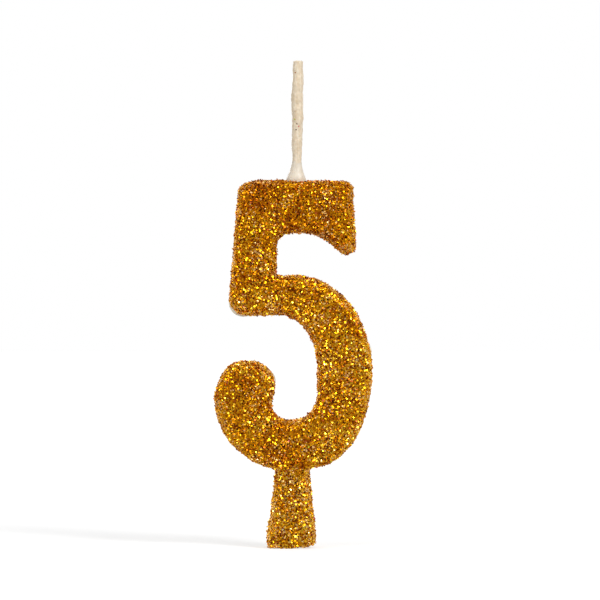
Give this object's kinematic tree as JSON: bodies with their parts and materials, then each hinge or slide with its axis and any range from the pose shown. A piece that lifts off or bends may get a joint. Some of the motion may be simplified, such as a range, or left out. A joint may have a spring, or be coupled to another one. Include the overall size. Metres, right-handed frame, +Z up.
{
  "type": "number birthday candle",
  "caption": "Glitter-coated wax numeral candle on a short flared stem that pushes into a cake, with a stiff waxed cotton wick.",
  "frame": {"origin": "on the flat of the sole, midway between the left and right sides of the stem's foot", "axes": "+Z up from the stem to the wick's tip, -Y out of the glittered face that reads as a 5, +X to that face's right"},
  "size_m": [0.0317, 0.0091, 0.0974],
  "materials": {
    "ivory_wax": "cast candle wax, slightly translucent, satin, scraped flat at the back",
    "gold_glitter": "dense metallised polyester glitter flakes in clear glue",
    "cotton_yarn": "twisted cotton soaked in wax",
    "wick_wax": "thin lumpy wax over cotton, matt",
    "collar_wax": "clean candle wax, satin",
    "loose_flake": "single metallised polyester flakes"
  },
  "bodies": {
    "root": {"wax_numeral": "ivory_wax", "glitter_coat": "gold_glitter", "wick_yarn_1": "cotton_yarn", "wick_yarn_2": "cotton_yarn", "wick_yarn_3": "cotton_yarn", "wick_wax_skin": "wick_wax", "wick_collar": "collar_wax", "stray_flakes": "loose_flake"}
  },
  "joints": []
}
